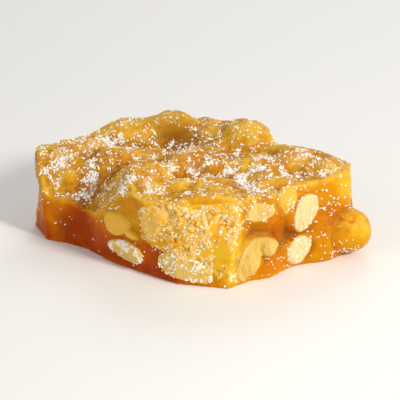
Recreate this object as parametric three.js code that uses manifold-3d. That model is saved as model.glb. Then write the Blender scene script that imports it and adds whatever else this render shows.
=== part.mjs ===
// A broken piece of cashew brittle: one thick slab of amber boiled sugar, and the cashew kernels
// that its broken sides cut through. Millimetres, +Z up, +Y to the back. The slab lies on its flat
// underside, and the origin is on that face, at the middle of the whole piece's bounding box.
import * as THREE from 'three';
import { mergeVertices } from 'three/addons/utils/BufferGeometryUtils.js';
import Module from 'manifold-3d';

const wasm = await Module();
wasm.setup();

// Driving dimensions
const slabLength = 102;        // left corner to right corner, at the foot
const slabDepth = 71;          // front corner to back edge, at the foot
const slabThickness = 27.5;    // underside to the top between the humps
const kernelClearance = 0.3;   // between a kernel and the pocket it sits in
const kernelStandsProud = 0.5; // a broken kernel stands this far out of the broken sugar
const fractureRelief = 1.3;    // how far the broken sides wander in and out
const kernelTaper = 0.16;      // one end of a kernel is fatter than its middle by this share

// Waves of the broken sides: how many there are from one corner of the outline to the next and from
// the foot to the rim, and how much of the relief each takes.
const broadWaves = { perCorner: 1, upwards: 2.2, share: 0.75 };
const fineWaves = { perCorner: 2.5, upwards: 5, share: 0.4 };
const reliefAtEdges = 0.35;    // the broad waves keep this much of their depth at the foot and the rim

// Fineness of the faceted surface
const columnsPerCorner = 3;
const bottomRings = 2;
const sideRings = 6;
const topRings = 10;
const kernelRows = 10;         // along a kernel
const kernelColumns = 8;       // round it
const ringSpacing = 1.25;      // above 1, the rings of the top lie closer together at the rim
const rimShare = 0.125;        // the outer share of the top, where it meets the broken side

// Places below are [x, y] on plan, in millimetres from a point near the middle of the slab, which
// stands this far from the left end and from the front corner of the outline.
const middleFromLeft = 54.7;
const middleFromFront = 36.5;

// Corners of the broken outline, anticlockwise seen from above, starting at the front corner. along
// and back are shares of the slab's length and depth. lean is how far, in millimetres, the rim of
// the top stands to the right of and behind the foot.
const corners = [
  { along: 0.614, back: 0.000, lean: [2.8, 4.4] },  // 0 front corner
  { along: 0.681, back: 0.077, lean: [1.5, 2.5] },  // 1
  { along: 0.742, back: 0.108, lean: [1.0, 2.0] },  // 2
  { along: 0.811, back: 0.218, lean: [1.5, 1.0] },  // 3
  { along: 0.918, back: 0.297, lean: [1.5, 1.0] },  // 4
  { along: 0.972, back: 0.337, lean: [1.5, 4.0] },  // 5
  { along: 1.002, back: 0.444, lean: [-1.0, 1.0] },  // 6 right corner
  { along: 0.968, back: 0.542, lean: [-0.4, -1.4] },  // 7
  { along: 0.914, back: 0.627, lean: [-0.4, -1.0] },  // 8
  { along: 0.840, back: 0.683, lean: [-0.2, -1.0] },  // 9
  { along: 0.772, back: 0.739, lean: [-0.6, -1.0] },  // 10
  { along: 0.752, back: 0.838, lean: [0.0, -1.6] },  // 11
  { along: 0.713, back: 0.894, lean: [1.0, -2.0] },  // 12
  { along: 0.625, back: 0.979, lean: [1.0, -1.0] },  // 13
  { along: 0.526, back: 1.000, lean: [1.0, -1.0] },  // 14
  { along: 0.438, back: 0.965, lean: [0.0, -1.0] },  // 15
  { along: 0.330, back: 0.979, lean: [-1.0, -0.6] },  // 16
  { along: 0.252, back: 0.923, lean: [0.6, 0.6] },  // 17
  { along: 0.154, back: 0.782, lean: [-1.0, 0.0] },  // 18
  { along: 0.000, back: 0.642, lean: [1.0, 1.0] },  // 19 left corner
  { along: 0.047, back: 0.487, lean: [-1.0, 1.0] },  // 20
  { along: 0.109, back: 0.449, lean: [-1.4, 1.0] },  // 21
  { along: 0.176, back: 0.387, lean: [-1.0, 0.6] },  // 22
  { along: 0.260, back: 0.249, lean: [-0.5, 0.0] },  // 23
  { along: 0.375, back: 0.142, lean: [-2.4, -3.9] },  // 24
  { along: 0.461, back: 0.048, lean: [0.5, -0.5] },  // 25
];
const middle = { x: -3, y: 0 };  // where the rings of the top and of the underside close

// Humps of the top: kernels under the skin of sugar, and the hollows between them, which have a
// negative height. turn is in degrees, and bow bends a hump as a kernel is bent.
const humps = [
  { place: [-25, 25], long: 19, wide: 13, height: 3.6, turn: 8, bow: 0.2 },
  { place: [-10.5, 29], long: 16, wide: 12, height: 5.6, turn: 12, bow: 0.3 },
  { place: [14.5, 21], long: 19, wide: 15, height: 4.8, turn: -25, bow: 0.2 },
  { place: [-31, 1], long: 15, wide: 13, height: 3.0, turn: 40, bow: 0.1 },
  { place: [-19.5, 4], long: 9, wide: 8, height: 1.8, turn: 0, bow: 0.1 },
  { place: [-21, -15], long: 20, wide: 15, height: 3.6, turn: -8, bow: 0.3 },
  { place: [-4, -3], long: 24, wide: 15, height: 3.4, turn: 6, bow: 0.4 },
  { place: [2, -19], long: 15, wide: 11, height: 2.4, turn: 35, bow: 0.2 },
  { place: [1, -30], long: 23, wide: 11, height: 2.2, turn: -4, bow: 0.3 },
  { place: [19, -3], long: 21, wide: 12, height: 2.4, turn: -25, bow: 0.3 },
  { place: [29, 5], long: 16, wide: 10, height: 1.6, turn: -35, bow: 0.2 },
  { place: [40, -6], long: 15, wide: 11, height: 1.8, turn: -20, bow: 0.2 },
  { place: [21, -18], long: 14, wide: 10, height: 1.8, turn: 20, bow: 0.2 },
  { place: [-42, 3], long: 15, wide: 11, height: 2.4, turn: -35, bow: 0.2 },
  { place: [-9, 16], long: 27, wide: 13, height: -3.4, turn: 6, bow: 0 },
  { place: [-36, -9], long: 13, wide: 9, height: -1.8, turn: -40, bow: 0 },
  { place: [-3, -13], long: 17, wide: 7, height: -1.8, turn: 6, bow: 0 },
  { place: [14, 8], long: 22, wide: 9, height: -2.2, turn: -15, bow: 0 },
  { place: [30, -9], long: 16, wide: 7, height: -1.8, turn: -60, bow: 0 },
];

// The front left of the top is broken away as a sloping shoulder between these two feet.
// Its rim is lowest at the share lowestAt of the way, and rises towards both ends.
const shoulder = {
  from: [-51, 5],
  to: [-22, -23],
  height: 16,
  slope: 0.95,
  lowestAt: 0.45,
  endRise: 12,
  endPower: 2.5,
  soft: 6,
};

// Kernels that the broken sides show. at counts along the outline from corner to corner, height is
// above the underside, roll turns the kernel in the broken face, and inset is how deep its middle
// is. fatEnd is 1 where the fatter end is the one that roll turns, and -1 where it is the other.
const shownKernels = [
  { at: 23.15, height: 14.9, long: 8.6, wide: 7.8, thick: 7, bend: 40, roll: -50, inset: 1.2, fatEnd: 1 },
  { at: 23.38, height: 6.7, long: 14.2, wide: 6.6, thick: 7, bend: 30, roll: -22, inset: 0.8, fatEnd: 1 },
  { at: 25.17, height: 5.3, long: 19, wide: 8.4, thick: 8, bend: 40, roll: -19, inset: 1.4, fatEnd: -1 },
  { at: 24.24, height: 19.8, long: 13, wide: 7.4, thick: 8, bend: 30, roll: 80, inset: 1.2, fatEnd: 1 },
  { at: 1.05, height: 8.2, long: 19.5, wide: 6.8, thick: 8, bend: 130, roll: 42, inset: 0.2, fatEnd: -1 },
  { at: 1.25, height: 22.6, long: 10, wide: 6.6, thick: 7, bend: 60, roll: 180, inset: 1.2, fatEnd: 1 },
  { at: 2.58, height: 23.8, long: 7.5, wide: 5.5, thick: 6, bend: 40, roll: 60, inset: 0.5, fatEnd: 1 },
  { at: 3.23, height: 17.8, long: 12.5, wide: 8, thick: 8, bend: 35, roll: 66, inset: 0.6, fatEnd: 1 },
  { at: 3.06, height: 6.2, long: 9.5, wide: 8, thick: 8, bend: 50, roll: 10, inset: 1.0, fatEnd: 1 },
];

// The sides turned away from the front show kernels of the same kinds, unevenly spaced. Each pair is
// the least and the most that a kernel may have.
const hiddenSides = {
  count: 10,
  at: [7.4, 18.1],
  height: [7, 19],
  long: [12, 19],
  wide: [7, 10],
  thick: [7, 9],
  bend: [35, 100],
  roll: [-90, 90],
  inset: [0.4, 1.6],
  unevenness: 0.5,             // of the step from one kernel to the next
};
const goldenShare = 0.618;     // heights step by this share of their range, so that they spread out

// A kernel coated in sugar that stands out of the right end, low down.
const endKnob = { place: [46.8, -11, 7.9], long: 14, wide: 13, thick: 13, bend: 20, roll: 80, fatEnd: 1 };

const sugarLook = { color: 0xd08a22, roughness: 0.35, metalness: 0 };
const kernelLook = { color: 0xecc987, roughness: 0.65, metalness: 0 };

const lerp = THREE.MathUtils.lerp;
const radians = THREE.MathUtils.degToRad;
const smooth = (value) => THREE.MathUtils.smoothstep(value, 0, 1);

// A repeatable number from 0 to 1 for each pair of whole numbers.
function scatter(i, j) {
  const wave = Math.sin(i * 127.1 + j * 311.7) * 43758.5453;
  return wave - Math.floor(wave);
}

// Smooth noise from -1 to 1, which repeats round the outline after loop cells.
function noise(x, y, loop) {
  const i = Math.floor(x);
  const j = Math.floor(y);
  const across = smooth(x - i);
  const wrap = (n) => THREE.MathUtils.euclideanModulo(n, loop);
  const low = lerp(scatter(wrap(i), j), scatter(wrap(i + 1), j), across);
  const high = lerp(scatter(wrap(i), j + 1), scatter(wrap(i + 1), j + 1), across);
  return 2 * lerp(low, high, smooth(y - j)) - 1;
}

// The lower of two heights, rounded where they cross.
function softMin(a, b, soft) {
  const mix = THREE.MathUtils.clamp(0.5 + (b - a) / (2 * soft), 0, 1);
  return lerp(b, a, mix) - soft * mix * (1 - mix) / 2;
}

// How much a hump adds to the top at a place.
function humpHeight({ place, long, wide, height, turn, bow }, x, y) {
  const centre = new THREE.Vector2(...place);
  const local = new THREE.Vector2(x, y).rotateAround(centre, -radians(turn)).sub(centre);
  const along = 2 * local.x / long;
  const across = 2 * local.y / wide + bow * along * along;
  const inside = Math.max(0, 1 - along * along - across * across);
  return height * inside * (1.6 - 0.6 * inside);
}

// The height to which the broken shoulder cuts the top down.
function shoulderHeight(x, y) {
  const [fromX, fromY] = shoulder.from;
  const run = new THREE.Vector2(shoulder.to[0] - fromX, shoulder.to[1] - fromY);
  const from = new THREE.Vector2(x - fromX, y - fromY);
  const inward = (run.x * from.y - run.y * from.x) / run.length();
  const share = from.dot(run) / run.lengthSq();
  const towardsEnd = Math.pow(Math.abs(2 * (share - shoulder.lowestAt)), shoulder.endPower);
  return shoulder.height + shoulder.slope * inward + shoulder.endRise * towardsEnd;
}

function topHeight(x, y) {
  const broken = softMin(slabThickness, shoulderHeight(x, y), shoulder.soft);
  return humps.reduce((z, hump) => z + humpHeight(hump, x, y), broken);
}

// The foot and the rim of the broken side at a place round the outline, counted in corners.
function outlineAt(at) {
  const count = corners.length;
  const first = corners[Math.floor(at) % count];
  const second = corners[(Math.floor(at) + 1) % count];
  const share = at - Math.floor(at);
  const foot = new THREE.Vector3(
    lerp(first.along, second.along, share) * slabLength - middleFromLeft,
    lerp(first.back, second.back, share) * slabDepth - middleFromFront, 0);
  const rim = new THREE.Vector3(
    foot.x + lerp(first.lean[0], second.lean[0], share),
    foot.y + lerp(first.lean[1], second.lean[1], share), 0);
  rim.z = topHeight(rim.x, rim.y);
  return { foot, rim };
}

// Which way the broken side faces on plan at a place round the outline.
function outwardAt(at) {
  const step = 0.5;
  const tangent = outlineAt(at + step).foot.sub(outlineAt(at + corners.length - step).foot).normalize();
  return new THREE.Vector3(tangent.y, -tangent.x, 0);
}

// How far one kind of wave moves the broken side, as a share of the relief.
function wavesAt(waves, at, share) {
  const loop = waves.perCorner * corners.length;
  return waves.share * noise(waves.perCorner * at, waves.upwards * share, loop);
}

// A point of the broken side. share runs from the foot to the rim, and grow moves it outwards.
function sidePoint(at, share, grow = 0) {
  const belly = Math.sin(Math.PI * share);
  const broad = wavesAt(broadWaves, at, share) * (reliefAtEdges + belly);
  const fine = wavesAt(fineWaves, at, share) * belly;
  const { foot, rim } = outlineAt(at);
  return foot.lerp(rim, share).addScaledVector(outwardAt(at), fractureRelief * (broad + fine) + grow);
}

// A point of the top. share runs from the rim to the middle, more closely spaced at the rim.
function topPoint(at, share, grow = 0) {
  const rim = sidePoint(at, 1, grow);
  const inwards = Math.pow(share, ringSpacing);
  const x = lerp(rim.x, middle.x, inwards);
  const y = lerp(rim.y, middle.y, inwards);
  const leaving = Math.min(1, share / rimShare);
  return new THREE.Vector3(x, y, lerp(rim.z, topHeight(x, y), leaving) + grow);
}

function bottomPoint(at, share, grow = 0) {
  const foot = sidePoint(at, 0, grow);
  return new THREE.Vector3(lerp(middle.x, foot.x, share), lerp(middle.y, foot.y, share), 0);
}

// The whole slab without its pockets, made by moving the rings of a sphere to the underside, the
// broken side and the top. grow makes it larger on all sides but the underside.
function slabGeometry(grow = 0) {
  const rings = bottomRings + sideRings + topRings;
  const ball = new THREE.SphereGeometry(1, corners.length * columnsPerCorner, rings);
  const { position, uv } = ball.attributes;
  for (let i = 0; i < position.count; i++) {
    const at = THREE.MathUtils.euclideanModulo(uv.getX(i), 1) * corners.length;
    const ring = Math.round(uv.getY(i) * rings);
    const point = ring <= bottomRings
      ? bottomPoint(at, ring / bottomRings, grow)
      : ring <= bottomRings + sideRings
        ? sidePoint(at, (ring - bottomRings) / sideRings, grow)
        : topPoint(at, (ring - bottomRings - sideRings) / topRings, grow);
    position.setXYZ(i, point.x, point.y, point.z);
  }
  return ball;
}

// A cashew kernel lying in its own XY plane: a sphere stretched along an arc, fatter at one end.
function kernelGeometry({ long, wide, thick, bend, fatEnd }, grow = 0) {
  const ball = new THREE.SphereGeometry(1, kernelColumns, kernelRows).rotateZ(Math.PI / 2);
  const { position } = ball.attributes;
  const arc = radians(bend);
  const radius = long / arc;
  for (let i = 0; i < position.count; i++) {
    const along = position.getX(i);
    const angle = along * arc / 2;
    const fat = 1 + fatEnd * kernelTaper * along;
    const out = radius + position.getY(i) * (wide / 2 * fat + grow);
    const tip = along * grow;
    position.setXYZ(i,
      out * Math.sin(angle) + tip * Math.cos(angle),
      out * Math.cos(angle) - radius * Math.cos(arc / 4) - tip * Math.sin(angle),
      position.getZ(i) * (thick / 2 * fat + grow));
  }
  return ball;
}

// A closed geometry as a solid that can be joined and cut.
function solidOf(geometry) {
  const bare = geometry.clone().deleteAttribute('normal').deleteAttribute('uv');
  const merged = mergeVertices(bare, 1e-4);
  return new wasm.Manifold(new wasm.Mesh({
    numProp: 3,
    vertProperties: merged.attributes.position.array,
    triVerts: new Uint32Array(merged.index.array),
  }));
}

function geometryOf(solid) {
  const { vertProperties, triVerts } = solid.getMesh();
  return new THREE.BufferGeometry()
    .setAttribute('position', new THREE.BufferAttribute(vertProperties, 3))
    .setIndex(new THREE.BufferAttribute(triVerts, 1));
}

// Where a kernel lies: in the plane of the broken side, inset from it.
function kernelPlace({ at, height, roll, inset }) {
  const { rim } = outlineAt(at);
  const share = height / rim.z;
  const point = sidePoint(at, share);
  const step = 0.1;
  const along = sidePoint(at + step, share).sub(point).normalize();
  const upwards = sidePoint(at, share + step).sub(point);
  const outward = new THREE.Vector3().crossVectors(along, upwards).normalize();
  const upright = new THREE.Vector3().crossVectors(outward, along);
  return new THREE.Matrix4().makeBasis(along, upright, outward)
    .setPosition(point.addScaledVector(outward, -inset))
    .multiply(new THREE.Matrix4().makeRotationZ(radians(roll)));
}

// Kernels for the sides that face away from the front.
function hiddenKernels() {
  const { count, at, height, long, wide, thick, bend, roll, inset, unevenness } = hiddenSides;
  return Array.from({ length: count }, (_, i) => ({
    at: lerp(...at, (i + unevenness * (scatter(i, 1) - 0.5)) / (count - 1)),
    height: lerp(...height, (i * goldenShare + 0.3 * scatter(i, 2)) % 1),
    long: lerp(...long, scatter(i, 3)),
    wide: lerp(...wide, scatter(i, 4)),
    thick: lerp(...thick, scatter(i, 5)),
    bend: lerp(...bend, scatter(i, 6)),
    roll: lerp(...roll, scatter(i, 7)),
    inset: lerp(...inset, scatter(i, 8)),
    fatEnd: 1,
  }));
}

// The coated kernel on the right end, which is one piece with the slab.
function knobSolid() {
  const turned = new THREE.Matrix4().makeRotationX(Math.PI / 2)
    .multiply(new THREE.Matrix4().makeRotationZ(radians(endKnob.roll)));
  return solidOf(kernelGeometry(endKnob).applyMatrix4(turned).translate(...endKnob.place));
}

const piece = new THREE.Group();
const sugarMaterial = new THREE.MeshStandardMaterial(sugarLook);
const kernelMaterial = new THREE.MeshStandardMaterial(kernelLook);

const cutter = solidOf(slabGeometry(kernelStandsProud));
const slab = solidOf(slabGeometry()).add(knobSolid());

let pockets = null;
let made = 0;
for (const spec of [...shownKernels, ...hiddenKernels()]) {
  const place = kernelPlace(spec);
  const pocket = solidOf(kernelGeometry(spec, kernelClearance).applyMatrix4(place));
  if (pockets && pockets.intersect(pocket).volume() > 0) continue;
  pockets = pockets ? pockets.add(pocket) : pocket;
  made += 1;
  const broken = solidOf(kernelGeometry(spec).applyMatrix4(place)).intersect(cutter);
  const kernel = new THREE.Mesh(geometryOf(broken).applyMatrix4(place.clone().invert()), kernelMaterial);
  kernel.applyMatrix4(place);
  kernel.name = `kernel_${String(made).padStart(2, '0')}`;
  piece.add(kernel);
}

const sugar = new THREE.Mesh(geometryOf(slab.subtract(pockets)), sugarMaterial);
sugar.name = 'sugar_slab';
piece.add(sugar);

const box = new THREE.Box3().setFromObject(piece);
piece.position.set(-(box.min.x + box.max.x) / 2, -(box.min.y + box.max.y) / 2, 0);

export default piece;
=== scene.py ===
import math

import bpy
import numpy as np
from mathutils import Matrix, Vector, noise
from mathutils.bvhtree import BVHTree


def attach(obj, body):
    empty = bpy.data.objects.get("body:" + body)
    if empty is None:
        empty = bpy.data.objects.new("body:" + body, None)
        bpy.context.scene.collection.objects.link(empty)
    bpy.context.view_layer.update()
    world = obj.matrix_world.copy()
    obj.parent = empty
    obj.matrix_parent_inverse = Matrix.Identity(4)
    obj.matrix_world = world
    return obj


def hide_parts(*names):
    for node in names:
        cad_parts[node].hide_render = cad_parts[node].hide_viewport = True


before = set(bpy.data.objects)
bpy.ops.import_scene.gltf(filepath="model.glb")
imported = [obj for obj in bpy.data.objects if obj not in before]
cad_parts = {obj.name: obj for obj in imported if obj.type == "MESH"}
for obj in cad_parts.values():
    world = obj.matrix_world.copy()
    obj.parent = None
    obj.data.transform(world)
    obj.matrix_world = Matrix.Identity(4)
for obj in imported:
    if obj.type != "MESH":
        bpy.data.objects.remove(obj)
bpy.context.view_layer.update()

mm = 0.001

scene = bpy.context.scene
kernelNodes = sorted(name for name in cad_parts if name.startswith("kernel_"))


# small helpers for objects and meshes

def selectOnly(*objs):
    bpy.ops.object.select_all(action="DESELECT")
    for obj in objs:
        obj.select_set(True)
    bpy.context.view_layer.objects.active = objs[-1]


def applyModifier(obj, kind, **settings):
    modifier = obj.modifiers.new(kind.lower(), kind)
    for key, value in settings.items():
        setattr(modifier, key, value)
    selectOnly(obj)
    bpy.ops.object.modifier_apply(modifier=modifier.name)


def applyTransform(obj):
    selectOnly(obj)
    bpy.ops.object.transform_apply(location=True, rotation=True, scale=True)


def joinInto(target, *others):
    selectOnly(*others, target)
    bpy.ops.object.join()
    return target


def copyOfNode(node, name, growth=0.0):
    # a merged copy of a CAD node, made fatter by the growth
    copied = bpy.data.objects.new(name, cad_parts[node].data.copy())
    scene.collection.objects.link(copied)
    copied.data.name = name
    copied.data.materials.clear()
    selectOnly(copied)
    bpy.ops.object.mode_set(mode="EDIT")
    bpy.ops.mesh.select_all(action="SELECT")
    bpy.ops.mesh.remove_doubles(threshold=0.001 * mm)
    if growth:
        bpy.ops.transform.shrink_fatten(value=growth)
    bpy.ops.object.mode_set(mode="OBJECT")
    return copied


def copyOfPiece(piece):
    copied = bpy.data.objects.new(piece.name + "Copy", piece.data.copy())
    scene.collection.objects.link(copied)
    return copied


def vertexPlaces(obj):
    places = np.empty(len(obj.data.vertices) * 3)
    obj.data.vertices.foreach_get("co", places)
    return places.reshape(-1, 3)


def vertexNormals(obj):
    normals = np.empty(len(obj.data.vertices) * 3)
    obj.data.vertex_normals.foreach_get("vector", normals)
    return normals.reshape(-1, 3)


def moveVertices(obj, places):
    obj.data.vertices.foreach_set("co", np.ascontiguousarray(places).ravel())
    obj.data.update()


def setAttribute(obj, name, values):
    attribute = obj.data.attributes.new(name, "FLOAT", "POINT")
    attribute.data.foreach_set("value", np.clip(values, 0, 1).astype(np.float32))


def setGroup(obj, name, weights):
    # weights are rounded to a few levels, so that one call fills each level
    group = obj.vertex_groups.new(name=name)
    steps = 20
    levels = np.round(np.clip(weights, 0, 1) * steps).astype(int)
    for level in range(1, steps + 1):
        group.add(np.flatnonzero(levels == level).tolist(), level / steps, "REPLACE")


def smoothStep(values, start, full):
    # 0 at the start and 1 where it is full, which may be the lower of the two
    share = np.clip((values - start) / (full - start), 0, 1)
    return share * share * (3 - 2 * share)


def around(places, centre, radius, power=2):
    # 1 at the centre, fading away at about the radius; a centre on plan reaches all heights
    distance = np.linalg.norm(places[:, :len(centre)] - centre, axis=1)
    return np.exp(-(distance / radius) ** power)


def waves(places, size, seed, octaves=1):
    # soft noise from -1 to 1 whose lumps are about size across
    shift = Vector((seed * 7.3, seed * 3.1, seed * 5.7))    # each seed reads another part of the noise
    spots = [Vector(place) / size + shift for place in places]
    if octaves == 1:
        return np.array([noise.noise(spot) for spot in spots])
    fading, shrinking = 1.0, 2.0    # of each further octave
    return np.array([noise.fractal(spot, fading, shrinking, octaves) for spot in spots])


def liftTo(obj, height):
    # the lowest points are lifted to the given height
    places = vertexPlaces(obj)
    places[:, 2] = np.maximum(places[:, 2], height)
    moveVertices(obj, places)


def reliefTexture(name, kind, size, **settings):
    texture = bpy.data.textures.new(name, kind)
    texture.noise_scale = size
    for key, value in settings.items():
        setattr(texture, key, value)
    return texture


def displace(obj, texture, depth, group="", mid=0.5):
    applyModifier(obj, "DISPLACE", texture=texture, strength=depth, mid_level=mid, vertex_group=group,
                  texture_coords="LOCAL", direction="NORMAL")


def nearness(obj, others, reach):
    # 1 on the surface of the other objects, fading to 0 at reach from them
    nearest = np.full(len(obj.data.vertices), 1.0)
    places = vertexPlaces(obj)
    for other in others:
        tree = BVHTree.FromObject(other, bpy.context.evaluated_depsgraph_get())
        low = vertexPlaces(other).min(0) - reach
        high = vertexPlaces(other).max(0) + reach
        close = np.flatnonzero(np.all((places > low) & (places < high), axis=1))
        for i in close:
            found = tree.find_nearest(Vector(places[i]), reach)
            if found[0] is not None:
                nearest[i] = min(nearest[i], found[3] / reach)
    return 1 - nearest


# whole kernels, which lie under the skin of the top and swell the slab

wholeKernelShape = {
    "segments": 24,
    "rings": 14,
    "taper": 0.3,
    "bend": 60,      # degrees from tip to tip
}


def ball(name, place, size, turn, segments, rings):
    # size is made real, and the turn and the place are left to apply
    bpy.ops.object.select_all(action="DESELECT")
    bpy.ops.mesh.primitive_uv_sphere_add(segments=segments, ring_count=rings, radius=0.5,
                                         scale=[side * mm for side in size])
    made = bpy.context.active_object
    made.name = name
    applyTransform(made)
    made.rotation_euler = [math.radians(angle) for angle in turn]
    made.location = [side * mm for side in place]
    return made


def wholeKernel(name, place, size, turn):
    # a ball stretched to size, made fatter at one end, bent, then turned and put in its place
    spec = wholeKernelShape
    kernel = ball(name, place, size, turn, spec["segments"], spec["rings"])
    applyModifier(kernel, "SIMPLE_DEFORM", deform_method="TAPER", factor=spec["taper"], deform_axis="X")
    applyModifier(kernel, "SIMPLE_DEFORM", deform_method="BEND", angle=math.radians(spec["bend"]),
                  deform_axis="Z")
    applyTransform(kernel)
    return kernel


# the slab of sugar

slabPiece = {
    "voxel": 0.5 * mm,
    "rounding": 4,               # smoothing rounds, which take the flats off the CAD faces
    # kernels under the skin: place, size and turn of each, in millimetres and degrees;
    # the last two swell the coated kernel at the right end
    "lumps": [
        ((-22.5, 22.6, 25.9), (30, 13.0, 10.6), (0, -7, 12)),
        ((-10.0, 25.6, 27.9), (20, 11.0, 11.4), (0, 3, 10)),
        ((3.5, 23.6, 24.8), (17, 10.0, 8.4), (0, 4, -12)),
        ((15.0, 19.0, 26.6), (20, 13.0, 10.0), (0, 4, -28)),
        ((26.0, 9.8, 24.2), (15, 10.0, 8.0), (0, 0, -30)),
        ((-36.5, 13.0, 24.2), (17, 10.0, 8.0), (0, -6, 24)),
        ((-26.5, 4.5, 24.8), (13, 10.0, 8.0), (0, 0, 30)),
        ((-17.5, -10.0, 25.2), (20, 13.0, 10.4), (0, -6, -8)),
        ((-3.0, 3.4, 25.2), (18, 10.5, 8.6), (0, 0, 6)),
        ((-6.0, -19.5, 25.3), (15, 9.0, 7.6), (0, 0, 35)),
        ((4.5, -25.5, 25.0), (17, 10.0, 8.4), (0, 0, 176)),
        ((12.5, -3.5, 24.6), (16, 9.5, 8.0), (0, 0, -25)),
        ((28.5, 1.5, 24.2), (17, 9.0, 8.2), (0, 0, -35)),
        ((39.5, -6.5, 24.0), (16, 10.0, 8.0), (0, 0, -24)),
        ((21.5, -17.0, 24.6), (15, 9.0, 8.2), (0, 0, 20)),
        ((-41.0, 5.0, 20.8), (15, 11, 8.2), (20, 0, -20)),
        ((42.5, -9.5, 8.0), (12, 9, 12), (0, 0, 0)),
        ((47.0, -10.7, 8.0), (13.4, 12.6, 13.4), (0, 0, 0)),
    ],
    # places that are pressed in, with radius and depth in millimetres, or pushed out where negative
    "presses": [
        ((-7.0, 20.0, 28.0), 9.0, 1.3),
        ((-12.0, -2.5, 27.0), 3.5, 1.6),
        ((-31.0, -4.0, 26.0), 4.0, 1.2),
        ((-2.0, -10.0, 27.0), 4.5, 1.3),
        ((5.0, -12.0, 27.0), 4.0, 1.0),
        ((4.0, 9.0, 27.0), 4.5, 1.2),
        ((20.0, 7.0, 27.0), 4.5, 1.2),
        ((27.0, -8.0, 26.5), 4.0, 1.0),
        ((-22.0, 12.5, 27.0), 4.0, 1.2),
        ((23.5, -27.0, 13.8), 8.0, 2.9),
        ((29.5, -22.0, 11.8), 4.5, 1.2),
        ((36.0, -18.5, 16.0), 7.0, 0.6),
        ((20.0, -27.5, 19.5), 5.0, -0.9),
        ((29.0, -22.5, 19.5), 4.0, -0.9),
        ((-54.5, 10.0, 23.0), 6.0, 0.9),
        ((41.0, -14.5, 8.5), 6.0, -2.4),
        ((39.0, -16.0, 2.5), 5.0, -1.2),
        ((47.5, -12.0, 20.0), 5.0, -0.8),
        ((40.5, -15.5, 24.5), 6.0, -0.7),
    ],
    "kernelMargin": 1.6 * mm,    # the slab stays as it is this close to a cut kernel
    "topSlope": (0.3, 0.7),      # the top's relief starts and is full at these upward parts of a normal
    "sideSlope": (0.35, 0.7),    # and the sides' relief at these level parts
    "backSlope": (0, 0.6),       # and the full scallops at these backward parts
    "footClear": 2 * mm,         # height over which the sides' relief grows
    "sideShare": 0.5,            # share on the sides of the relief that is all over
    "scallops": {"size": 12 * mm, "depth": 3.4 * mm, "mid": 0.36},
    "frontScallops": 0.3,        # share of that depth on the front sides
    "chips": {"size": 3.2 * mm, "depth": 0.35 * mm, "mid": 0.4},
    "topRidges": {"size": 6.0 * mm, "depth": 0.4 * mm, "mid": 0.7},
    "topWrinkles": {"size": 2.4 * mm, "depth": 0.5 * mm, "mid": 0.5},
    "grain": {"size": 0.8 * mm, "depth": 0.2 * mm, "mid": 0.5},
    "crustBreaks": {"size": 5.0 * mm, "depth": 1.5 * mm, "mid": 0.45},
    "crustFlakes": {"size": 1.8 * mm, "depth": 0.7 * mm, "mid": 0.5},
    # smooth skin over nuts, and smooth rims at the back: place, radius and how smooth
    "smoothed": [
        ((43.0, -12.5, 8.0), 7.0, 1.0),
        ((-26.0, 23.0, 29.0), 11.0, 0.7),
        ((-11.0, 25.0, 30.0), 11.0, 1.0),
        ((15.0, 19.0, 30.0), 10.0, 0.7),
        ((47.5, -10.5, 8.0), 9.0, 0.3),
        ((-27.5, -12.5, 22.5), 8.0, 1.0),
        ((-22.0, 31.0, 24.0), 8.0, 1.0),
        ((-34.0, 24.0, 22.0), 8.0, 1.0),
        ((30.0, 18.0, 24.0), 8.0, 1.0),
    ],
    "smoothingRounds": 60,
    "reliefLost": 0.7,           # share of the relief that the smooth places lose
    "broadRounds": 70,           # smoothing rounds after which only the broad shape is left
}


def pressIn(obj, presses, free):
    places = vertexPlaces(obj)
    normals = vertexNormals(obj)
    for centre, radius, depth in presses:
        pressed = free * depth * mm * around(places, np.array(centre) * mm, radius * mm)
        places -= normals * pressed[:, None]
    moveVertices(obj, places)


# the crusted patch at the front corner, where one more kernel is broken to flakes

crustPatch = {
    # each edge starts at the first place and is full at the second, in millimetres
    "leftEdge": (-19, -16),
    "rightEdge": (13.5, 11),
    "upperEdge": (28, 25),
    "lowerEdge": (4, 7.5),       # this one falls to the right by the slant
    "slant": 0.42,
    "frontEdge": (-21, -25),
    "fill": 1.2,
    "raggedness": 0.8,
    "raggedSize": 5,
    "bareSpot": (7.5, -34, 9.5),
    "bareRadius": 6,
    "bareness": 1.3,
}


def crustWeights(obj):
    spec = crustPatch
    places = vertexPlaces(obj) / mm
    across = smoothStep(places[:, 0], *spec["leftEdge"]) * smoothStep(places[:, 0], *spec["rightEdge"])
    slanted = places[:, 2] + spec["slant"] * places[:, 0]
    upwards = smoothStep(slanted, *spec["lowerEdge"]) * smoothStep(places[:, 2], *spec["upperEdge"])
    front = smoothStep(places[:, 1], *spec["frontEdge"])
    ragged = spec["fill"] + spec["raggedness"] * waves(places, spec["raggedSize"], seed=5, octaves=3)
    bare = spec["bareness"] * around(places, spec["bareSpot"], spec["bareRadius"])
    return np.clip(across * upwards * front * ragged - bare, 0, 1)


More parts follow.
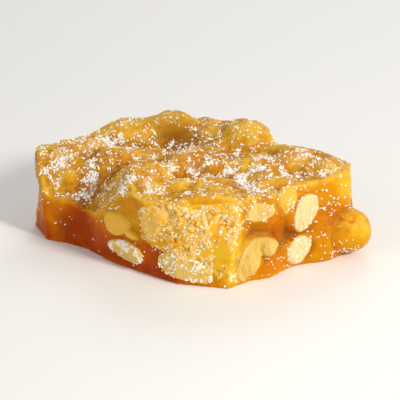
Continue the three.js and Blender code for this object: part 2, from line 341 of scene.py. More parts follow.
def buildSlab(kernels):
    spec = slabPiece
    slab = copyOfNode("sugar_slab", "sugarPiece")
    lumps = [wholeKernel(f"lump{i}", *lump) for i, lump in enumerate(spec["lumps"])]
    fills = [copyOfNode(node, node + "Fill") for node in kernelNodes]
    joinInto(slab, *lumps, *fills)    # with the fills, no groove is left round a kernel
    applyModifier(slab, "REMESH", mode="VOXEL", voxel_size=spec["voxel"])
    applyModifier(slab, "SMOOTH", factor=0.5, iterations=spec["rounding"])
    places = vertexPlaces(slab) / mm
    smoothed = np.zeros(len(places))
    for centre, radius, strength in spec["smoothed"]:
        smoothed = np.maximum(smoothed, strength * around(places, centre, radius, 4))
    free = 1 - nearness(slab, kernels, spec["kernelMargin"])
    setGroup(slab, "smoothed", smoothed * free)
    applyModifier(slab, "SMOOTH", factor=0.5, iterations=spec["smoothingRounds"], vertex_group="smoothed")
    pressIn(slab, spec["presses"], free)
    free *= 1 - spec["reliefLost"] * smoothed
    normals = vertexNormals(slab)
    topness = smoothStep(normals[:, 2], *spec["topSlope"])
    sideness = smoothStep(1 - abs(normals[:, 2]), *spec["sideSlope"])
    sideness *= smoothStep(vertexPlaces(slab)[:, 2], 0, spec["footClear"])
    scalloped = spec["frontScallops"] + smoothStep(normals[:, 1], *spec["backSlope"])
    setGroup(slab, "sides", sideness * free * scalloped)
    setGroup(slab, "top", topness * free)
    setGroup(slab, "allOver", np.maximum(topness, sideness * spec["sideShare"]) * free)
    setGroup(slab, "crust", crustWeights(slab) * free)
    for name, kind, group, settings in (
        ("scallops", "VORONOI", "sides", {"distance_metric": "DISTANCE_SQUARED"}),
        ("chips", "VORONOI", "allOver", {"distance_metric": "DISTANCE_SQUARED"}),
        ("topRidges", "MUSGRAVE", "top", {"musgrave_type": "RIDGED_MULTIFRACTAL", "octaves": 3}),
        ("topWrinkles", "CLOUDS", "top", {"noise_depth": 2}),
        ("grain", "CLOUDS", "allOver", {"noise_depth": 1}),
        ("crustBreaks", "VORONOI", "crust", {"distance_metric": "DISTANCE"}),
        ("crustFlakes", "CLOUDS", "crust", {"noise_depth": 2}),
    ):
        relief = spec[name]
        displace(slab, reliefTexture(name, kind, relief["size"], **settings), relief["depth"], group,
                 relief["mid"])
    liftTo(slab, 0)
    return slab


# the cut kernels

kernelPiece = {
    # how pale each kernel of the front is, how much loose sugar sticks to it, how many nut crumbs,
    # and how far the skin of sugar goes over it
    "front": {
        "kernel_01": {"pale": 0.35, "frosting": 0.0, "coating": 0.75},
        "kernel_02": {"pale": 0.2, "frosting": 0.75},
        "kernel_03": {"pale": 0.0, "frosting": 0.5},
        "kernel_04": {"pale": 0.6, "crumbed": 0.12, "coating": 0.65},
        "kernel_05": {"pale": 0.25, "frosting": 0.0},
        "kernel_06": {"pale": 0.3, "frosting": 0.2, "coating": 0.25},
        "kernel_07": {"pale": 0.35, "frosting": 0.2, "coating": 0.8},
        "kernel_08": {"pale": 0.9},
        "kernel_09": {"pale": 0.8, "frosting": 0.2},
    },
    "otherwise": {"pale": 0.4, "frosting": 0.1, "crumbed": 0.0, "coating": 0.0},
    # balls that fill a kernel out to its own outline: place, size and turn, in millimetres and degrees
    "additions": {
        "kernel_01": [((-24.1, -21.6, 16.3), (8.3, 3.6, 6.6), (0, 0, -40)),
                      ((-21.2, -23.9, 13.2), (6.0, 3.4, 3.0), (0, 25, -25))],
        "kernel_04": [((-11.5, -30.0, 22.5), (8, 5, 8), (0, 0, 0))],
        "kernel_05": [((20.8, -28.0, 10.2), (5.5, 5.0, 5.5), (0, 0, 30)),
                      ((15.2, -30.6, 6.6), (7.5, 5.0, 10.5), (0, 25, 30))],
        "kernel_07": [((26.4, -23.6, 25.2), (8.5, 5.0, 8.0), (0, 20, 45))],
        "kernel_09": [((29.4, -19.6, 4.0), (8.4, 5.5, 6.6), (0, 10, 40))],
    },
    "growth": 0.4 * mm,          # each is this much fatter than its CAD node, which closes the gap round it
    "voxel": 0.34 * mm,
    "rounding": 3,
    "dents": {"size": 5.0 * mm, "depth": 0.6 * mm},
    "ragged": {"size": 1.3 * mm, "depth": 0.35 * mm},
    "fibres": {"size": 0.6 * mm, "depth": 0.16 * mm},
    "lowest": 0.1 * mm,          # no point of them is lower
    "clumpSize": 2.5 * mm,       # of the loose sugar
    "clumpEdge": (-0.4, 0.5),
    "sugarFrom": (0.9 * mm, 1.8 * mm),    # heights where the loose sugar starts and is full
    "speckShare": 0.22,          # of fine dust among it
}


def buildKernel(node):
    spec = kernelPiece
    kernel = copyOfNode(node, "cut" + node.title().replace("_", ""), spec["growth"])
    for i, addition in enumerate(spec["additions"].get(node, [])):
        fill = ball(f"{kernel.name}Fill{i}", *addition, segments=16, rings=10)
        applyTransform(fill)
        joinInto(kernel, fill)
    applyModifier(kernel, "REMESH", mode="VOXEL", voxel_size=spec["voxel"])
    applyModifier(kernel, "SMOOTH", factor=0.5, iterations=spec["rounding"])
    for name in ("dents", "ragged", "fibres"):
        displace(kernel, reliefTexture(name, "CLOUDS", spec[name]["size"]), spec[name]["depth"])
    liftTo(kernel, spec["lowest"])
    places = vertexPlaces(kernel)
    clumps = smoothStep(waves(places, spec["clumpSize"], seed=3, octaves=2), *spec["clumpEdge"])
    clumps *= smoothStep(places[:, 2], *spec["sugarFrom"])
    look = spec["otherwise"] | spec["front"].get(node, {})
    setAttribute(kernel, "pale", np.full(len(places), look["pale"]))
    setAttribute(kernel, "coating", np.full(len(places), look["coating"]))
    setAttribute(kernel, "frost", look["frosting"] * clumps)
    setAttribute(kernel, "specks", spec["speckShare"] * look["frosting"] * clumps)
    setAttribute(kernel, "crumbs", look["crumbed"] * clumps)
    return kernel


# where the sugar is pale, dark or frosted, and where light and shade are painted on it

# tone of the sugar from dark to pale: the sides that face the key light are painted lighter and those at
# the front left painted darker, as painted light and shade on top of real changes in how thick the sugar is
toneAndPaintedLightLevels = {
    "top": 0.66,
    "rightSide": 0.68,     # the broken sides that face the light
    "leftSide": 0.06,      # those at the front left, where the sugar is thick and dark, darkened further as painted shade away from the key light
    "leftRim": 0.26,       # added towards the rim of those
    "rimHeights": (8, 18),    # heights where that starts and is full
    "hiddenSide": 0.42,    # the level of the sides at the back and the left end
    "foot": -0.12,         # added at the foot
    "footHeights": (9, 1),
    "crust": 0.4,          # added on the crusted front corner
    # places where the sugar is thinner or thicker, and painted shade in the recess at the right front:
    # place, radius and what is added
    "patches": [
        ((-21.0, -25.0, 19.0), 10.0, 0.5),
        ((-48.0, 2.0, 12.0), 6.0, 0.12),
        ((-38.0, -6.0, 11.0), 9.0, -0.15),
        ((-46.0, -4.0, 15.0), 5.0, 0.3),
        ((-37.0, -13.0, 13.5), 5.0, 0.25),
        ((-30.0, -17.5, 16.0), 5.0, 0.2),
        ((-38.0, 0.0, 22.0), 10.0, -0.22),
        ((3.0, 3.0, 28.0), 8.0, -0.15),
        ((-24.0, 8.0, 26.0), 7.0, -0.2),
        ((8.0, -18.0, 27.0), 5.0, -0.15),
        # painted shade in the recess under the ledge at the right front
        ((22.5, -26.0, 13.6), 7.5, -0.32),
        ((29.5, -22.0, 11.8), 4.0, -0.12),
        ((43.0, -14.0, 14.0), 5.0, -0.25),
        ((47.0, -10.5, 8.0), 8.0, -0.22),
        ((8.0, -34.0, 9.5), 8.0, 0.45),
        ((-54.0, 14.0, 17.0), 12.0, 0.4),
        ((47.5, -9.0, 22.0), 6.0, 0.2),
        ((-9.0, 27.0, 32.0), 6.0, 0.3),
    ],
}
paintedHollowShade = {
    # x, y, radius and strength of the places on the top where the hollows get painted brown shade, in
    # millimetres
    "patches": [
        (-7, 19.5, 10, 1.0), (-12.5, -3, 4, 0.7), (1, -9, 6, 0.5), (4, 9, 6, 0.5), (20, 6, 6, 0.5),
        (25, -8, 4, 0.4), (-23, 12, 5, 0.5), (-31, -4, 4, 0.5), (8, 24, 6, 0.5),
    ],
    "standing": (0.7, -0.3),    # they start and are full where the top stands out this far
    "perStanding": -1.5,        # painted shade for each millimetre that it stands out, negative so that hollows are painted brown shade
}


facings = {
    # shares of X, Y and Z in how far the broad shape faces each way, where it starts and where it is full
    "top": (0, 0, 1, 0.02, 0.62),
    "right": (0.9, -0.3, 0, -0.35, 0.4),
    "hidden": (-0.5, 0.85, 0, -0.1, 0.6),
}


def facesTo(side, facing):
    x, y, z, start, full = facings[side]
    return smoothStep(x * facing[:, 0] + y * facing[:, 1] + z * facing[:, 2], start, full)


# painted light on the sides that face the key light and painted shade at the front left, with the sugar's
# own tone
def toneAndPaintedLightWeights(slab, facing):
    places = vertexPlaces(slab) / mm
    level = toneAndPaintedLightLevels
    glow = level["leftSide"] + level["leftRim"] * smoothStep(places[:, 2], *level["rimHeights"])
    glow += (level["rightSide"] - glow) * facesTo("right", facing)
    glow += (level["hiddenSide"] - glow) * facesTo("hidden", facing)
    glow += (level["top"] - glow) * facesTo("top", facing)
    glow += level["foot"] * smoothStep(places[:, 2], *level["footHeights"])
    for centre, radius, change in level["patches"]:
        glow += change * around(places, centre, radius)
    return glow + level["crust"] * crustWeights(slab)


def convexity(obj, rounds):
    # how many millimetres each point stands out of the same surface smoothed flat, and which way that faces
    smooth = bpy.data.objects.new("smooth", obj.data.copy())
    scene.collection.objects.link(smooth)
    applyModifier(smooth, "SMOOTH", factor=0.5, iterations=rounds)
    facing = vertexNormals(smooth)
    standing = ((vertexPlaces(obj) - vertexPlaces(smooth)) * facing).sum(1)
    bpy.data.objects.remove(smooth)
    return standing / mm, facing


topFrost = {
    # x, y, radius and strength of the patches of white sugar on the top, in millimetres
    "patches": [
        (-27, 15.5, 6, 1.0), (-34, 17, 6, 0.8), (-48, 10, 6, 0.6), (-44, 5, 5, 0.7), (-48, 1, 5, 0.6),
        (-35, -2, 4, 1.0), (-40, -4, 4, 0.6), (-30, -9, 4, 0.4), (-23, -20, 4, 1.0),
        (-16, -22, 4, 0.8), (-12, -6, 4, 0.7), (-13, 3, 4, 0.6), (-5, -12, 6, 1.0),
        (3, -8, 5, 0.7), (9, -9, 6, 0.8), (-5, 15, 5, 0.6), (6, 4, 4, 0.5), (13, -13, 5, 1.0),
        (20, -5, 5, 1.0), (26, -11, 5, 0.8), (33, 3, 6, 0.6), (38, -8, 5, 0.6),
        (-3, -32, 5, 0.8), (11, -29, 4, 0.6), (46, -7, 4, 0.7), (14, 10, 5, 0.5), (16, -22, 5, 0.7),
    ],
    "least": 0.2,            # share of it between the patches
    "clumpSize": 3.5,
    "clumpEdge": (-0.45, 0.4),
    "crestLoss": 1.2,        # share lost for each millimetre that a crest stands out
    "sweptRange": (0.1, 1.4),
    "heights": (14.5, 17),
    "onCrust": 0.15,
    "dust": 0.4,             # share of fine dust among it
}
sideFrost = {
    # x, y, z, radius and strength of the specks on the broken sides
    "patches": [
        (-8, -33, 1, 5, 0.25), (-24, -24, 1, 4, 0.15), (21, -26, 3, 4.5, 0.4), (14, -28, 27, 6, 0.4),
        (16, -29, 24.5, 3, 0.9), (40, -15, 20, 6, 0.25), (46, -14, 3, 6, 0.35), (32, -19, 24, 5, 0.3),
        (26, -23, 2, 5, 0.4), (-26, -20, 20, 4, 0.3), (-34, -14, 17, 6, 0.15), (-4, -32, 18, 9, 0.25),
        (35, -17, 10, 3, 0.3), (45, -13, 14, 3, 0.3),
    ],
    "least": 0.012,
    "heights": (0.9, 1.6),
}


def patchWeights(places, patches, least=0):
    # patches are a place, a radius and a strength
    weights = np.full(len(places), float(least))
    for *centre, radius, strength in patches:
        weights = np.maximum(weights, strength * around(places, centre, radius))
    return weights


def frostWeights(slab, standing, facing):
    # the white sugar on the top, and the specks that lie on the broken sides as well
    places = vertexPlaces(slab) / mm
    topness = facesTo("top", facing)
    clumps = waves(places, topFrost["clumpSize"], seed=1, octaves=3)
    clumps = smoothStep(clumps, *topFrost["clumpEdge"])
    swept = np.clip(1 - topFrost["crestLoss"] * standing, *topFrost["sweptRange"])
    onTop = topness * smoothStep(places[:, 2], *topFrost["heights"])
    frost = onTop * clumps * swept * patchWeights(places, topFrost["patches"], topFrost["least"])
    frost = np.maximum(frost, topFrost["onCrust"] * clumps * crustWeights(slab))
    aside = (1 - topness) * smoothStep(places[:, 2], *sideFrost["heights"])
    specks = aside * patchWeights(places, sideFrost["patches"], sideFrost["least"])
    return frost, np.maximum(topFrost["dust"] * frost ** 2, specks)


slabMarks = {
    "nutReach": 2.2 * mm,             # how far the paler tone over a whole kernel goes
    # tones that the nut crumbs take over: size and seed of the pattern, its middle and its swing
    "pale": {"size": 1.5 * mm, "seed": 4, "middle": 0.8, "swing": 0.6},
    "coating": {"size": 1.2 * mm, "seed": 6, "middle": 0.45, "swing": 0.8},
    "crumbClumps": 2.5 * mm,
    "crumbEdge": (-0.5, 0.3),
    "crumbsFrom": (1.8 * mm, 2.6 * mm),    # heights where the crumbs start and are full
}


def markSlab(slab):
    # attributes that the materials and the loose grains read
    spec = slabMarks
    places = vertexPlaces(slab)
    wholeKernels = [wholeKernel(f"under{i}", *lump) for i, lump in enumerate(slabPiece["lumps"])]
    setAttribute(slab, "nut", nearness(slab, wholeKernels, spec["nutReach"]))
    for kernel in wholeKernels:
        bpy.data.objects.remove(kernel)

    standing, facing = convexity(slab, slabPiece["broadRounds"])
    setAttribute(slab, "crest", standing)
    setAttribute(slab, "topness", facesTo("top", facing))
    setAttribute(slab, "glow", toneAndPaintedLightWeights(slab, facing))
    frost, specks = frostWeights(slab, standing, facing)
    setAttribute(slab, "frost", frost)
    setAttribute(slab, "specks", specks)
    # painted brown shade in the hollows of the top
    hollowShading = patchWeights(places / mm, paintedHollowShade["patches"])
    hollowShading *= smoothStep(standing, *paintedHollowShade["standing"])
    setAttribute(slab, "hollow", np.maximum(paintedHollowShade["perStanding"] * standing, hollowShading))

    crust = crustWeights(slab)
    setAttribute(slab, "crusted", crust)
    crumbs = waves(places, spec["crumbClumps"], seed=9, octaves=2)
    crumbs = crust * smoothStep(crumbs, *spec["crumbEdge"])
    setAttribute(slab, "crumbs", crumbs * smoothStep(places[:, 2], *spec["crumbsFrom"]))
    for name in ("pale", "coating"):
        look = spec[name]
        pattern = waves(places, look["size"], look["seed"])
        setAttribute(slab, name, look["middle"] + look["swing"] * pattern)


# material helpers

def newMaterial(name):
    material = bpy.data.materials.new(name)
    material.use_nodes = True
    tree = material.node_tree
    tree.nodes.clear()
    output = tree.nodes.new("ShaderNodeOutputMaterial")
    surface = tree.nodes.new("ShaderNodeBsdfPrincipled")
    tree.links.new(surface.outputs["BSDF"], output.inputs["Surface"])
    return material, tree, surface


def feed(tree, node, inputs):
    # what goes into a socket is another node's output, or a plain number or colour
    for key, value in inputs.items():
        if isinstance(value, bpy.types.NodeSocket):
            tree.links.new(value, node.inputs[key])
        else:
            node.inputs[key].default_value = value


def addNode(tree, kind, inputs=None, **settings):
    node = tree.nodes.new(kind)
    for key, value in settings.items():
        setattr(node, key, value)
    feed(tree, node, inputs or {})
    return node


def mixColours(tree, factor, first, second):
    # a Mix node's sockets 6 and 7 and its output 2 are the ones for colours
    return addNode(tree, "ShaderNodeMix", {0: factor, 6: first, 7: second}, data_type="RGBA").outputs[2]


def mathNode(tree, operation, first, second=0.0, third=0.0, clamp=False):
    return addNode(tree, "ShaderNodeMath", {0: first, 1: second, 2: third}, operation=operation,
                   use_clamp=clamp).outputs[0]


def addShare(tree, value, pattern, share):
    # the value with a share of the pattern added
    return mathNode(tree, "MULTIPLY_ADD", pattern, share, value)


def aroundZero(tree, pattern):
    return mathNode(tree, "SUBTRACT", pattern, 0.5)


def maskFrom(tree, value, low, high):
    node = addNode(tree, "ShaderNodeMapRange", {"Value": value, "From Min": low, "From Max": high},
                   interpolation_type="SMOOTHSTEP")
    return node.outputs["Result"]


def noiseAt(tree, place, size, detail, roughness=0.5, distortion=0.0):
    fromGroup = isinstance(size, bpy.types.NodeSocket)
    return addNode(tree, "ShaderNodeTexNoise", {
        "Vector": place,
        "Scale": mathNode(tree, "DIVIDE", 1.0, size) if fromGroup else 1 / size,
        "Detail": detail,
        "Roughness": roughness,
        "Distortion": distortion,
    }).outputs["Fac"]


def objectPlace(tree):
    return addNode(tree, "ShaderNodeTexCoord").outputs["Object"]


def attributeValue(tree, name):
    return addNode(tree, "ShaderNodeAttribute", attribute_name=name).outputs["Fac"]


def colour(red, green, blue):
    # from the usual 0 to 255 to the linear values that the sockets take
    linear = [((part / 255 + 0.055) / 1.055) ** 2.4 if part > 10 else part / 255 / 12.92
              for part in (red, green, blue)]
    return (*linear, 1.0)


def newGroup(name, inputs, outputs):
    # a shader node group with named sockets, for an effect that more than one material uses
    group = bpy.data.node_groups.new(name, "ShaderNodeTree")
    for socketName, kind in inputs:
        group.interface.new_socket(socketName, in_out="INPUT", socket_type=kind)
    for socketName in outputs:
        group.interface.new_socket(socketName, in_out="OUTPUT", socket_type="NodeSocketFloat")
    return group, addNode(group, "NodeGroupInput").outputs, addNode(group, "NodeGroupOutput").inputs


filmEdge = {
    "bare": 0.6,        # the pattern has to rise above this where there is no frost
    "lowered": -0.28,   # what full frost adds to that
    "softness": 0.1,
}


def frostFilmGroup():
    # where the thin white film of sugar lies: Frost is how much there is, Grain how large its specks are
    group, given, put = newGroup("frostFilm", [("Place", "NodeSocketVector"), ("Frost", "NodeSocketFloat"),
                                               ("Grain", "NodeSocketFloat")], ["Film"])
    specks = noiseAt(group, given["Place"], given["Grain"], detail=3, roughness=0.65)
    bare = addShare(group, filmEdge["bare"], given["Frost"], filmEdge["lowered"])
    film = mathNode(group, "DIVIDE", mathNode(group, "SUBTRACT", specks, bare), filmEdge["softness"],
                    clamp=True)
    group.links.new(film, put["Film"])
    return group


fineGrains = {
    "size": 0.25,       # as a share of the size of the soft lumps
    "height": 0.4,      # and of their height
}


def fineReliefGroup():
    # height of the finest relief: soft lumps of the size Lump, and grains among them
    group, given, put = newGroup("fineRelief", [("Place", "NodeSocketVector"), ("Lump", "NodeSocketFloat")],
                                 ["Height"])
    lumps = noiseAt(group, given["Place"], given["Lump"], detail=3, roughness=0.6)
    grainSize = mathNode(group, "MULTIPLY", given["Lump"], fineGrains["size"])
    grains = noiseAt(group, given["Place"], grainSize, detail=2, roughness=0.6)
    group.links.new(addShare(group, lumps, grains, fineGrains["height"]), put["Height"])
    return group


def placeGroup(tree, group, **inputs):
    node = addNode(tree, "ShaderNodeGroup", node_tree=group)
    feed(tree, node, inputs)
    return node.outputs[0]


def bumpFrom(tree, height, strength=0.6, distance=0.3 * mm):
    return addNode(tree, "ShaderNodeBump", {"Height": height, "Strength": strength,
                                            "Distance": distance}).outputs["Normal"]


def rampFrom(tree, value, steps):
    ramp = addNode(tree, "ShaderNodeValToRGB", {"Fac": value})
    elements = ramp.color_ramp.elements
    while len(elements) < len(steps):
        elements.new(0.5)
    for element, (share, tint) in zip(elements, steps):
        element.position = share
        element.color = tint
    return ramp.outputs["Color"]


sugarFinish = {
    # from thick sugar and painted shade to a thin skin over a nut and painted light: share of the tone and
    # its colour
    "topTones": [
        (0.0, colour(136, 60, 6)),
        (0.38, colour(168, 94, 12)),
        (0.6, colour(203, 136, 20)),
        (0.8, colour(220, 157, 28)),
        (1.0, colour(231, 180, 50)),
    ],
    "sideTones": [
        (0.0, colour(166, 58, 0)),
        (0.3, colour(196, 90, 0)),
        (0.55, colour(210, 124, 4)),
        (0.78, colour(214, 149, 14)),
        (1.0, colour(226, 178, 40)),
    ],
    # from the deep cracks of the crust to the nut flakes on it
    "crust": [
        (0.28, colour(206, 106, 4)),
        (0.4, colour(234, 166, 26)),
        (0.56, colour(240, 188, 60)),
        (0.64, colour(252, 230, 170)),
    ],
    # colour of the painted shade in the hollows of the top
    "brown": colour(138, 82, 18),
    "frost": colour(248, 243, 232),
    "broadSize": 7 * mm,         # of the broad changes of tone
    "broadShare": (0.6, 0.5),    # everywhere, and added to that on the top
    "streakSize": 2.6 * mm,
    "streakShare": (0.12, 0.85),
    "nutShare": 0.25,            # lighter over whole kernels
    "crestShare": 0.3,           # and lighter on crests, as painted highlight
    "flakeSize": 3.0 * mm,
    "crustEdge": (0.1, 0.6),
    "filmGrain": 0.5 * mm,
    "filmShare": 0.5,
    "lump": 1.2 * mm,
    "roughness": (0.3, 0.8),     # of bare sugar, and of the white film
    "gloss": 0.01,               # clear skin of the bare broken sides
    "sockets": {
        "Coat Roughness": 0.12,
        "Subsurface Weight": 0.35,
        "Subsurface Radius": (1.0, 0.55, 0.1),
        "Subsurface Scale": 2.5 * mm,
        "Specular IOR Level": 0.08,
        "Specular Tint": (1.0, 0.75, 0.4, 1.0),
    },
}


def sugarMaterial(frostFilm, fineRelief):
    spec = sugarFinish
    material, tree, surface = newMaterial("amberSugar")
    place = objectPlace(tree)
    top = attributeValue(tree, "topness")
    broad = noiseAt(tree, place, spec["broadSize"], detail=3, roughness=0.6, distortion=0.6)
    streaks = noiseAt(tree, place, spec["streakSize"], detail=4, roughness=0.6, distortion=1.2)
    # the tone holds painted light and shade as well as the sugar's own tone
    tone = attributeValue(tree, "glow")
    for pattern, (everywhere, onTop) in ((broad, spec["broadShare"]), (streaks, spec["streakShare"])):
        tone = addShare(tree, tone, aroundZero(tree, pattern), addShare(tree, everywhere, top, onTop))
    tone = addShare(tree, tone, attributeValue(tree, "nut"), spec["nutShare"])
    # painted highlight on the crests
    tone = addShare(tree, tone, attributeValue(tree, "crest"), spec["crestShare"])
    sideColour = rampFrom(tree, tone, spec["sideTones"])
    topColour = rampFrom(tree, tone, spec["topTones"])
    base = mixColours(tree, top, sideColour, topColour)
    # painted brown shade in the hollows of the top
    base = mixColours(tree, attributeValue(tree, "hollow"), base, spec["brown"])
    flakes = noiseAt(tree, place, spec["flakeSize"], detail=5, roughness=0.6, distortion=0.8)
    crusted = maskFrom(tree, attributeValue(tree, "crusted"), *spec["crustEdge"])
    base = mixColours(tree, crusted, base, rampFrom(tree, flakes, spec["crust"]))
    film = placeGroup(tree, frostFilm, Place=place, Frost=attributeValue(tree, "frost"),
                      Grain=spec["filmGrain"])
    film = mathNode(tree, "MULTIPLY", film, mathNode(tree, "MULTIPLY", top, spec["filmShare"]))
    bareRough, filmRough = spec["roughness"]
    rough = addNode(tree, "ShaderNodeMapRange", {"Value": film, "To Min": bareRough, "To Max": filmRough})
    aside = mathNode(tree, "SUBTRACT", 1.0, top)
    height = placeGroup(tree, fineRelief, Place=place, Lump=spec["lump"])
    feed(tree, surface, spec["sockets"])
    feed(tree, surface, {
        "Base Color": mixColours(tree, film, base, spec["frost"]),
        "Roughness": rough.outputs["Result"],
        "Coat Weight": mathNode(tree, "MULTIPLY", aside, spec["gloss"]),
        "Normal": bumpFrom(tree, height),
    })
    return material


kernelFinish = {
    "flesh": colour(226, 186, 86),
    "pale": colour(240, 214, 150),
    "toasted": colour(198, 128, 40),
    "skin": colour(240, 182, 50),      # of sugar over it
    "frost": colour(240, 232, 214),
    "fibre": (1.0, 1.0, 0.1),          # fibres run upwards, so their pattern is drawn out in Z
    "broadSize": 4 * mm,
    "fibreSize": 0.7 * mm,
    "paleEdge": (0.15, 0.85),
    "toastedEdge": (0.52, 0.72),
    "toastedShare": 0.6,
    "coatedEdge": (0.2, 0.8),
    "filmGrain": 0.45 * mm,
    "filmShare": 0.75,
    "lump": 0.8 * mm,
    "sockets": {
        "Roughness": 0.6,
        "Subsurface Weight": 0.1,
        "Subsurface Radius": (1.0, 0.7, 0.35),
        "Subsurface Scale": 1.0 * mm,
        "Specular IOR Level": 0.25,
    },
}


def kernelMaterial(frostFilm, fineRelief):
    spec = kernelFinish
    material, tree, surface = newMaterial("cashewFlesh")
    place = objectPlace(tree)
    drawn = addNode(tree, "ShaderNodeMapping", {"Vector": place, "Scale": spec["fibre"]}).outputs["Vector"]
    fibres = noiseAt(tree, drawn, spec["fibreSize"], detail=3, roughness=0.6)
    broad = aroundZero(tree, noiseAt(tree, place, spec["broadSize"], detail=3, roughness=0.5))
    pale = mathNode(tree, "ADD", attributeValue(tree, "pale"), broad)
    base = mixColours(tree, maskFrom(tree, pale, *spec["paleEdge"]), spec["flesh"], spec["pale"])
    toasted = mathNode(tree, "MULTIPLY", maskFrom(tree, fibres, *spec["toastedEdge"]), spec["toastedShare"])
    base = mixColours(tree, toasted, base, spec["toasted"])
    coated = mathNode(tree, "ADD", attributeValue(tree, "coating"), broad)
    base = mixColours(tree, maskFrom(tree, coated, *spec["coatedEdge"]), base, spec["skin"])
    film = placeGroup(tree, frostFilm, Place=place, Frost=attributeValue(tree, "frost"),
                      Grain=spec["filmGrain"])
    film = mathNode(tree, "MULTIPLY", film, spec["filmShare"])
    height = mathNode(tree, "ADD", placeGroup(tree, fineRelief, Place=place, Lump=spec["lump"]), fibres)
    feed(tree, surface, spec["sockets"])
    feed(tree, surface, {
        "Base Color": mixColours(tree, film, base, spec["frost"]),
        "Normal": bumpFrom(tree, height),
    })
    return material


crystalFinish = {
    "white": colour(255, 253, 249),
    "cream": colour(248, 240, 222),
    "tintSize": 0.8 * mm,
    "tintEdge": (0.3, 0.7),
    "roughness": 0.35,
}


def crystalMaterial():
    spec = crystalFinish
    material, tree, surface = newMaterial("sugarCrystal")
    tint = noiseAt(tree, objectPlace(tree), spec["tintSize"], detail=1)
    base = mixColours(tree, maskFrom(tree, tint, *spec["tintEdge"]), spec["white"], spec["cream"])
    feed(tree, surface, {"Base Color": base, "Roughness": spec["roughness"]})
    return material


# loose sugar: each kind is one piece of joined grains

grainKinds = {
    # weight is the attribute that says where they lie, power how much they keep to its peaks,
    # least and most are the sizes along X, Y and Z, and tilt is in radians
    "sugarCrystals": {
        "seed": 11,
        "weight": "frost",
        "power": 1.2,
        "perSquareMetre": 1.2e6,
        "least": (0.9 * mm, 0.45 * mm, 0.35 * mm),
        "most": (2.0 * mm, 0.95 * mm, 0.6 * mm),
        "tilt": 0.5,
    },
    "sugarGrains": {
        "seed": 17,
        "weight": "frost",
        "power": 1.0,
        "perSquareMetre": 2.2e6,
        "least": (0.5 * mm, 0.4 * mm, 0.3 * mm),
        "most": (1.2 * mm, 0.75 * mm, 0.5 * mm),
        "tilt": 1.0,
    },
    "sugarDust": {
        "seed": 23,
        "weight": "specks",
        "power": 1.0,
        "perSquareMetre": 1.6e6,
        "least": (0.4 * mm, 0.3 * mm, 0.25 * mm),
        "most": (1.3 * mm, 0.8 * mm, 0.6 * mm),
        "tilt": 1.5,
    },
    "nutCrumbs": {
        "seed": 31,
        "weight": "crumbs",
        "power": 1.0,
        "perSquareMetre": 0.8e6,
        "least": (0.8 * mm, 0.6 * mm, 0.4 * mm),
        "most": (3.4 * mm, 2.2 * mm, 1.0 * mm),
        "tilt": 0.8,
    },
}


def seedCrystal():
    # one grain: a ball of 20 flat faces
    bpy.ops.object.select_all(action="DESELECT")
    bpy.ops.mesh.primitive_ico_sphere_add(subdivisions=1, radius=0.5)
    return bpy.context.active_object


def scatterOn(base, name, grain, spec):
    piece = bpy.data.objects.new(name, base.data.copy())
    scene.collection.objects.link(piece)
    tree = bpy.data.node_groups.new(name + "Scatter", "GeometryNodeTree")
    tree.interface.new_socket("Geometry", in_out="INPUT", socket_type="NodeSocketGeometry")
    tree.interface.new_socket("Geometry", in_out="OUTPUT", socket_type="NodeSocketGeometry")
    start = addNode(tree, "NodeGroupInput")
    end = addNode(tree, "NodeGroupOutput")
    named = addNode(tree, "GeometryNodeInputNamedAttribute", {"Name": spec["weight"]}, data_type="FLOAT")
    share = mathNode(tree, "POWER", named.outputs["Attribute"], spec["power"])
    density = mathNode(tree, "MULTIPLY", share, spec["perSquareMetre"])
    points = addNode(tree, "GeometryNodeDistributePointsOnFaces", {
        "Mesh": start.outputs["Geometry"],
        "Density": density,
        "Seed": spec["seed"],
    })
    spin = addNode(tree, "FunctionNodeRandomValue", {
        "Min": (-spec["tilt"], -spec["tilt"], 0),
        "Max": (spec["tilt"], spec["tilt"], 2 * math.pi),
        "Seed": spec["seed"] + 1,
    }, data_type="FLOAT_VECTOR")
    turn = addNode(tree, "FunctionNodeRotateRotation", {
        "Rotation": points.outputs["Rotation"],
        "Rotate By": spin.outputs["Value"],
    }, rotation_space="LOCAL")
    size = addNode(tree, "FunctionNodeRandomValue", {
        "Min": spec["least"],
        "Max": spec["most"],
        "Seed": spec["seed"] + 2,
    }, data_type="FLOAT_VECTOR")
    grainInfo = addNode(tree, "GeometryNodeObjectInfo", {"Object": grain})
    copies = addNode(tree, "GeometryNodeInstanceOnPoints", {
        "Points": points.outputs["Points"],
        "Instance": grainInfo.outputs["Geometry"],
        "Rotation": turn.outputs["Rotation"],
        "Scale": size.outputs["Value"],
    })
    real = addNode(tree, "GeometryNodeRealizeInstances", {"Geometry": copies.outputs["Instances"]})
    tree.links.new(real.outputs["Geometry"], end.inputs["Geometry"])
    applyModifier(piece, "NODES", node_group=tree)
    piece.data.name = name
    piece.data.materials.clear()
    print(name, len(piece.data.polygons), "faces")
    return piece


# making everything

cutKernels = {node: buildKernel(node) for node in kernelNodes}
print("kernels", sum(len(kernel.data.polygons) for kernel in cutKernels.values()), "faces")
slab = buildSlab(cutKernels.values())
print("slab", len(slab.data.polygons), "faces")

markSlab(slab)
print("slab marked")

dusted = joinInto(*[copyOfPiece(piece) for piece in (slab, *cutKernels.values())])
grain = seedCrystal()
looseGrains = {name: scatterOn(dusted, name, grain, spec) for name, spec in grainKinds.items()}
bpy.data.objects.remove(grain)
bpy.data.objects.remove(dusted)

frostFilm = frostFilmGroup()
fineRelief = fineReliefGroup()
amberSugar = sugarMaterial(frostFilm, fineRelief)
cashewFlesh = kernelMaterial(frostFilm, fineRelief)
sugarCrystal = crystalMaterial()

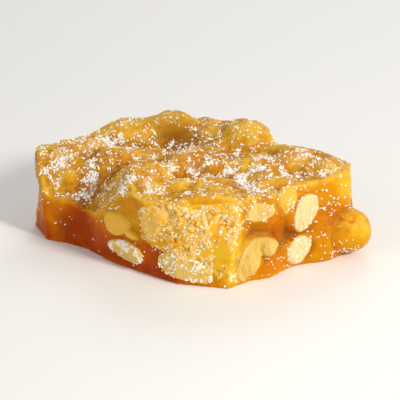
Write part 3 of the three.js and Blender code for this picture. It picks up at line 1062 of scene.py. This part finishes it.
slab.data.materials.append(amberSugar)
for name, piece in looseGrains.items():
    piece.data.materials.append(cashewFlesh if name == "nutCrumbs" else sugarCrystal)
for kernel in cutKernels.values():
    kernel.data.materials.append(cashewFlesh)
selectOnly(slab, *cutKernels.values())
bpy.ops.object.shade_smooth()

for piece in (slab, *looseGrains.values(), *cutKernels.values()):
    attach(piece, "root")
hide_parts("sugar_slab")
for node, kernel in cutKernels.items():
    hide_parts(node)
print("pieces placed")


# stage, lights and camera

stage = {
    # lengths in metres, the elevation in degrees
    "floorSize": 3.0,
    "floorColour": colour(247, 246, 243),
    "floorRoughness": 0.8,
    "skyColour": (1.0, 1.0, 1.0, 1.0),
    "skyStrength": 0.4,
    "elevation": 25,
    "distance": 0.6,
    "widthSeen": 0.128,
    "aim": Vector((0.0, 0.0, 13.5 * mm)),
    "filmWidth": 36,       # of the camera, in millimetres
    "nearest": 0.01,
    # place, size and power of each light, and its colour
    "lights": {
        "keyLight": ((0.42, -0.38, 0.38), 0.14, 3.4, (1.0, 0.97, 0.92)),
        "fillLight": ((-0.5, -0.35, 0.35), 0.5, 0.75, (1.0, 0.98, 0.95)),
        "backLight": ((0.1, 0.5, 0.45), 0.4, 0.9, (1.0, 1.0, 1.0)),
    },
}


def addLight(name, place, size, power, tint):
    bpy.ops.object.select_all(action="DESELECT")
    bpy.ops.object.light_add(type="AREA", location=place)
    lamp = bpy.context.active_object
    lamp.name = name
    lamp.data.shape = "DISK"
    lamp.data.size = size
    lamp.data.energy = power
    lamp.data.color = tint
    lamp.rotation_euler = (stage["aim"] - Vector(place)).to_track_quat("-Z", "Y").to_euler()


bpy.ops.object.select_all(action="DESELECT")
bpy.ops.mesh.primitive_plane_add(size=stage["floorSize"])
floor = bpy.context.active_object
floor.name = "floor"
paleFloor, floorTree, floorSurface = newMaterial("paleFloor")
feed(floorTree, floorSurface, {"Base Color": stage["floorColour"], "Roughness": stage["floorRoughness"]})
floor.data.materials.append(paleFloor)

for name, light in stage["lights"].items():
    addLight(name, *light)

world = bpy.data.worlds.new("studio")
scene.world = world
world.use_nodes = True
feed(world.node_tree, world.node_tree.nodes["Background"],
     {"Color": stage["skyColour"], "Strength": stage["skyStrength"]})
scene.view_settings.view_transform = "Standard"

tilt = math.radians(stage["elevation"])
eye = stage["aim"] + stage["distance"] * Vector((0, -math.cos(tilt), math.sin(tilt)))
bpy.ops.object.camera_add(location=eye, rotation=(math.pi / 2 - tilt, 0, 0))
camera = bpy.context.active_object
camera.name = "camera"
camera.data.sensor_width = stage["filmWidth"]
camera.data.lens = stage["filmWidth"] * stage["distance"] / stage["widthSeen"]
camera.data.clip_start = stage["nearest"]
scene.camera = camera
print("stage set")
